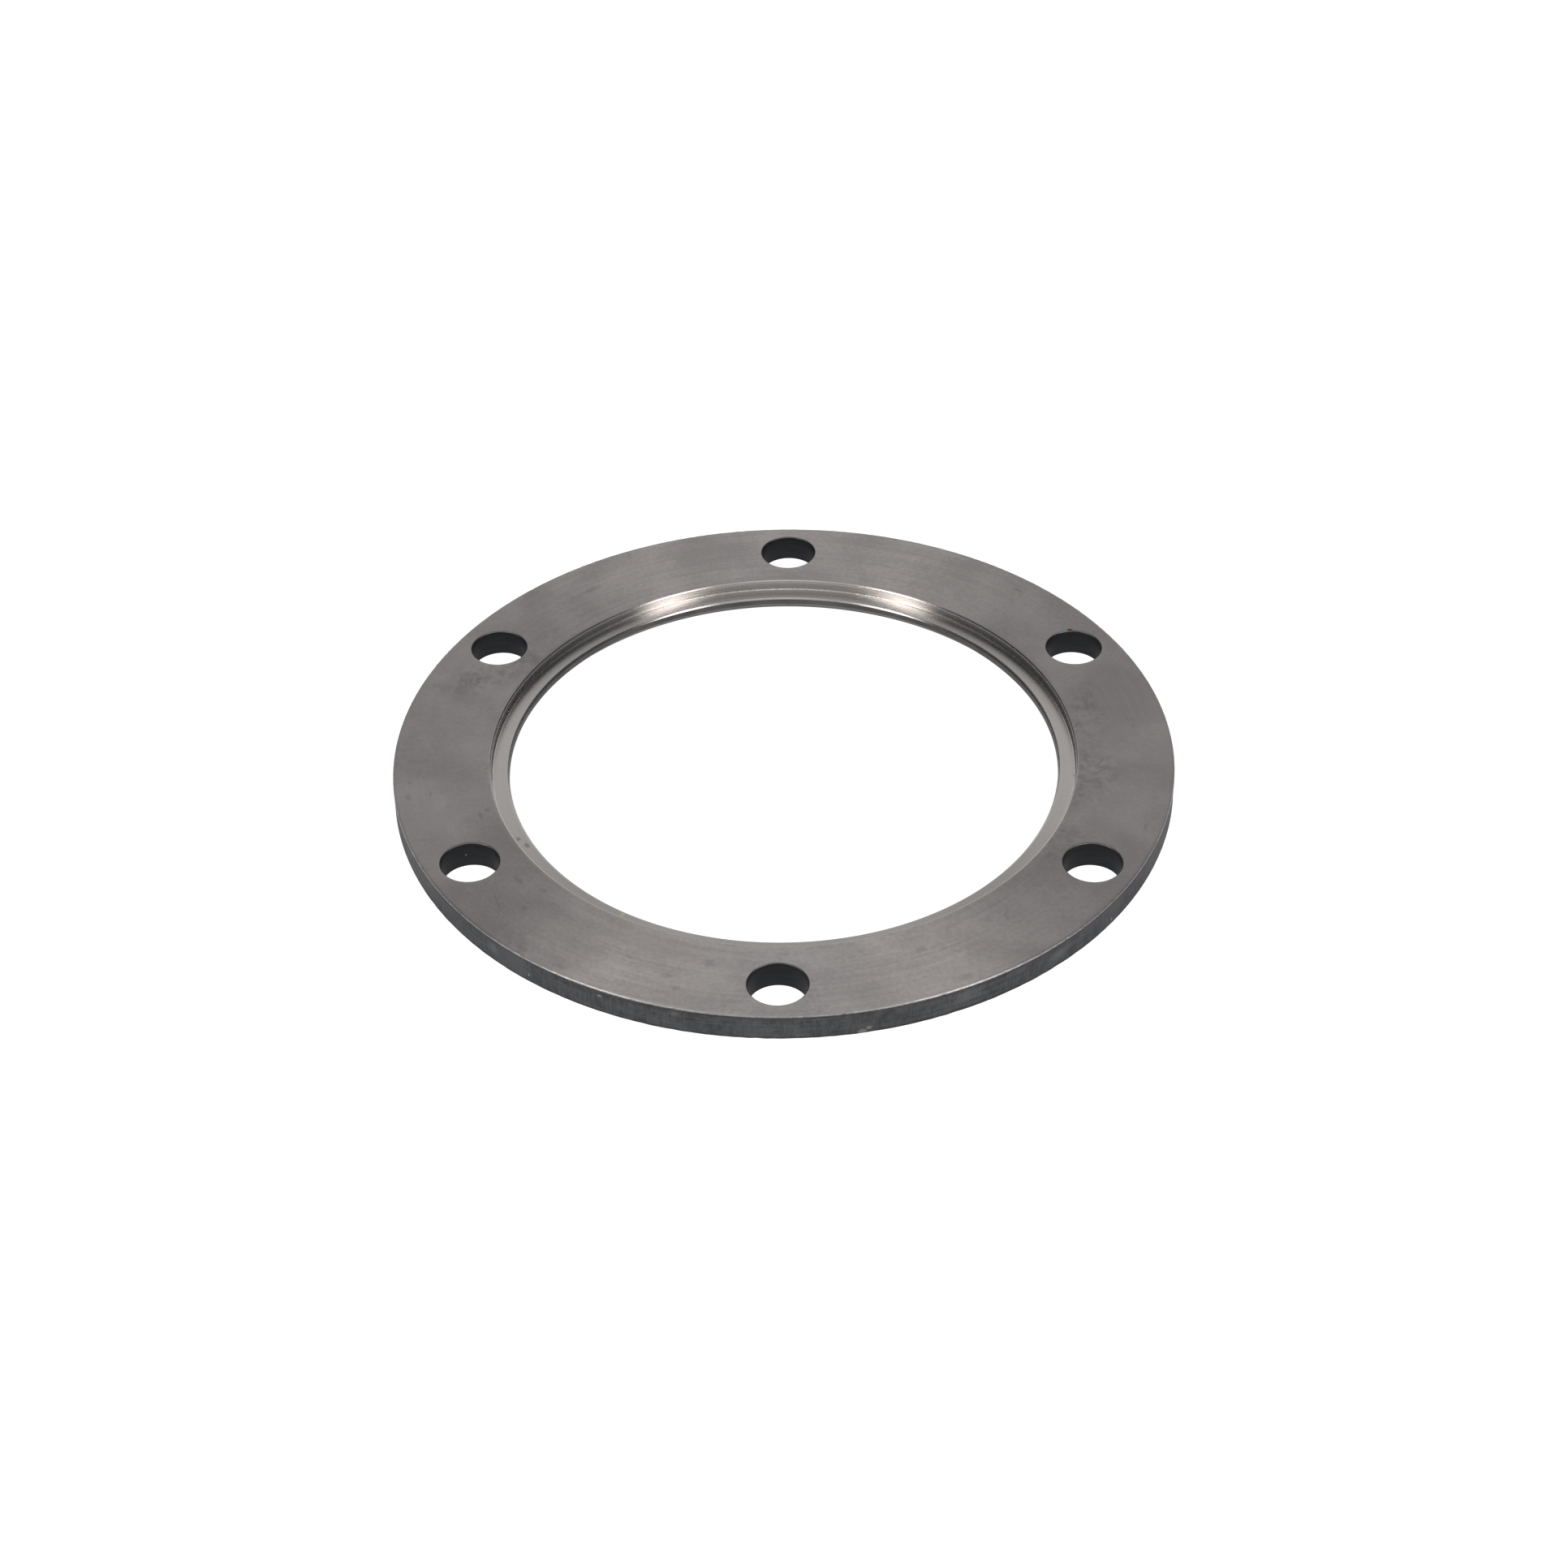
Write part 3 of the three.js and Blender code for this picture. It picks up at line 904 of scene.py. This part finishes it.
def drilled_steel():
    """The walls of the bolt holes: blackened, with faint rings left by the drill and, in one
    hole, a tiny bright fleck."""
    fleck = [(205.4, 95.7, 4.1, 0.34, 0.3, 0.26)]
    material, tree, shader = steel("drilled wall")
    place = use_group(tree, RING_PLACE)["Place"]
    drawn_flat = reckon_vector(tree, "MULTIPLY", place, (0.15, 0.15, 2.5))
    rings = cloud(tree, drawn_flat, 1.0, 4.0)
    wear_and_highlight = use_group(tree, EDGE_WEAR_AND_HIGHLIGHT, Width=0.22, Raggedness=0.06, Fineness=1.5)["Wear and highlight"]
    base = mix_colour(tree, rescale(tree, rings, 0.3, 0.7),
                      (0.036, 0.038, 0.041, 1), (0.06, 0.062, 0.067, 1))
    # Painted highlight along the hole edges, on top of their worn bright metal.
    worn_and_highlighted = mix_colour(tree, reckon(tree, "MULTIPLY", wear_and_highlight, 0.7), base, (0.42, 0.41, 0.40, 1))
    bright = reckon(tree, "MULTIPLY", marks(tree, fleck), 0.8)
    flecked = mix_colour(tree, bright, worn_and_highlighted, (0.45, 0.47, 0.47, 1))
    tree.links.new(flecked, shader.inputs["Base Color"])
    tree.links.new(rescale(tree, rings, 0.3, 0.7, 0.42, 0.55), shader.inputs["Roughness"])
    bump(tree, shader, rings, 0.04)
    return material


finishes = [faced_steel(), bored_steel(), land_steel(), rim_steel(), drilled_steel()]
flange = make_mesh("turned_ring", build_shell(), finishes)
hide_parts("flange_ring")
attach(flange, "root")


# The floor: a sheet of white board, matt and seamless, that the ring lies on. The camera sees
# it near pure white, and the steel's sides see it as an even pale grey.
FLOOR_HALF_WIDTH = 12.0
FLOOR_DROP = 0.05 * MM
BOARD_SHADE = (0.5, 0.5, 0.5, 1)
BOARD_GLOW = 0.40
BOARD_GLOW_SEEN = 0.58


def white_board():
    """A matt surface with an even glow, and more of it for rays from the camera, so that the
    board looks white there and the ring's shade on it stays faint."""
    material = bpy.data.materials.new("white board")
    material.use_nodes = True
    tree = material.node_tree
    shader = tree.nodes["Principled BSDF"]
    shader.inputs["Base Color"].default_value = BOARD_SHADE
    shader.inputs["Roughness"].default_value = 0.9
    shader.inputs["Specular IOR Level"].default_value = 0.0
    shader.inputs["Emission Color"].default_value = (1, 1, 1, 1)
    seen = tree.nodes.new("ShaderNodeLightPath").outputs["Is Camera Ray"]
    glow = reckon(tree, "MULTIPLY_ADD", seen, BOARD_GLOW_SEEN, BOARD_GLOW)
    tree.links.new(glow, shader.inputs["Emission Strength"])
    return material


def lay_floor():
    """One flat square just under the back face."""
    reach = FLOOR_HALF_WIDTH
    corners = [(-reach, -reach), (reach, -reach), (reach, reach), (-reach, reach)]
    mesh = bpy.data.meshes.new("floor")
    mesh.from_pydata([(x, y, cad_low.z - FLOOR_DROP) for x, y in corners], [], [(0, 1, 2, 3)])
    mesh.materials.append(white_board())
    board = bpy.data.objects.new("floor", mesh)
    bpy.context.scene.collection.objects.link(board)
    return board


lay_floor()


# The studio: a grey room, darker to the left and right, one broad soft light overhead and
# two tall narrow soft boxes in front, to the left and to the right.
SOFT_BOX_DISTANCE = 1.0
SOFT_BOX_WIDTH = 0.225
SOFT_BOX_HEIGHT = 0.75
SOFT_BOX_POWER = 2.4
SOFT_BOX_COLOUR = (1, 0.96, 0.92)
SOFT_BOX_ELEVATION = math.radians(40)
SOFT_BOX_AZIMUTHS = {"left": math.radians(-141.4), "right": math.radians(-40.0)}
OVERHEAD_SPOT = Vector((0, 0.2, 1.6))
OVERHEAD_WIDTH = 1.4
OVERHEAD_POWER = 3.3
OVERHEAD_COLOUR = (1, 1, 1)


def soft_light(name, spot, width, height, power, colour):
    """A flat soft light that faces the middle of the ring, with its height upright."""
    lamp = bpy.data.lights.new(name, "AREA")
    lamp.shape = "RECTANGLE"
    lamp.size = width
    lamp.size_y = height
    lamp.energy = power
    lamp.color = colour
    holder = bpy.data.objects.new(name, lamp)
    aim = spot.to_track_quat("Z", "Y").to_matrix().to_4x4()
    holder.matrix_world = Matrix.Translation(spot) @ aim
    bpy.context.scene.collection.objects.link(holder)


for side, azimuth in SOFT_BOX_AZIMUTHS.items():
    level_reach = math.cos(SOFT_BOX_ELEVATION)
    heading = Vector((level_reach * math.cos(azimuth), level_reach * math.sin(azimuth),
                      math.sin(SOFT_BOX_ELEVATION)))
    soft_light("soft box " + side, heading * SOFT_BOX_DISTANCE, SOFT_BOX_WIDTH, SOFT_BOX_HEIGHT,
               SOFT_BOX_POWER, SOFT_BOX_COLOUR)
soft_light("overhead light", OVERHEAD_SPOT, OVERHEAD_WIDTH, OVERHEAD_WIDTH, OVERHEAD_POWER,
           OVERHEAD_COLOUR)

# Shades of the room's walls. Each pair of limits is where a shade starts and where it is full:
# the first kind measures a heading's turn from straight ahead as a cosine, the second kind its
# height, from 0 at the horizon to 1 overhead.
SIDE_SHADE = (0.034, 0.034, 0.038, 1)
FRONT_SHADE = (0.24, 0.24, 0.24, 1)
FRONT_TOP_SHADE = (0.58, 0.58, 0.58, 1)
BACK_SHADE = (0.56, 0.555, 0.55, 1)
FRONT_TURN = (0.76, 0.94)
BACK_TURN = (0.84, 0.95)
FRONT_TOP_HEIGHT = (0.72, 0.88)
BACK_HEIGHT = (0.77, 0.65)


def studio_room():
    """The room's light by direction: pale walls in front and behind, dark ones at the sides,
    and white where the camera looks past the floor."""
    world = bpy.data.worlds.new("studio")
    world.use_nodes = True
    tree = world.node_tree
    background = tree.nodes["Background"]
    heading = tree.nodes.new("ShaderNodeTexCoord").outputs["Generated"]
    level = reckon_vector(tree, "NORMALIZE", reckon_vector(tree, "MULTIPLY", heading, (1, 1, 0)))
    depth = add_node(tree, "ShaderNodeSeparateXYZ", {0: level}).outputs["Y"]
    height = add_node(tree, "ShaderNodeSeparateXYZ", {0: heading}).outputs["Z"]
    front = rescale(tree, reckon(tree, "MULTIPLY", depth, -1.0), *FRONT_TURN)
    front_top = rescale(tree, height, *FRONT_TOP_HEIGHT)
    front_wall = mix_colour(tree, front_top, FRONT_SHADE, FRONT_TOP_SHADE)
    behind = reckon(tree, "MULTIPLY", rescale(tree, depth, *BACK_TURN),
                    rescale(tree, height, *BACK_HEIGHT))
    room = mix_colour(tree, front, SIDE_SHADE, front_wall)
    room = mix_colour(tree, behind, room, BACK_SHADE)
    seen = tree.nodes.new("ShaderNodeLightPath").outputs["Is Camera Ray"]
    tree.links.new(mix_colour(tree, seen, room, (1, 1, 1, 1)), background.inputs["Color"])
    bpy.context.scene.world = world


studio_room()
bpy.context.scene.view_settings.view_transform = "Standard"
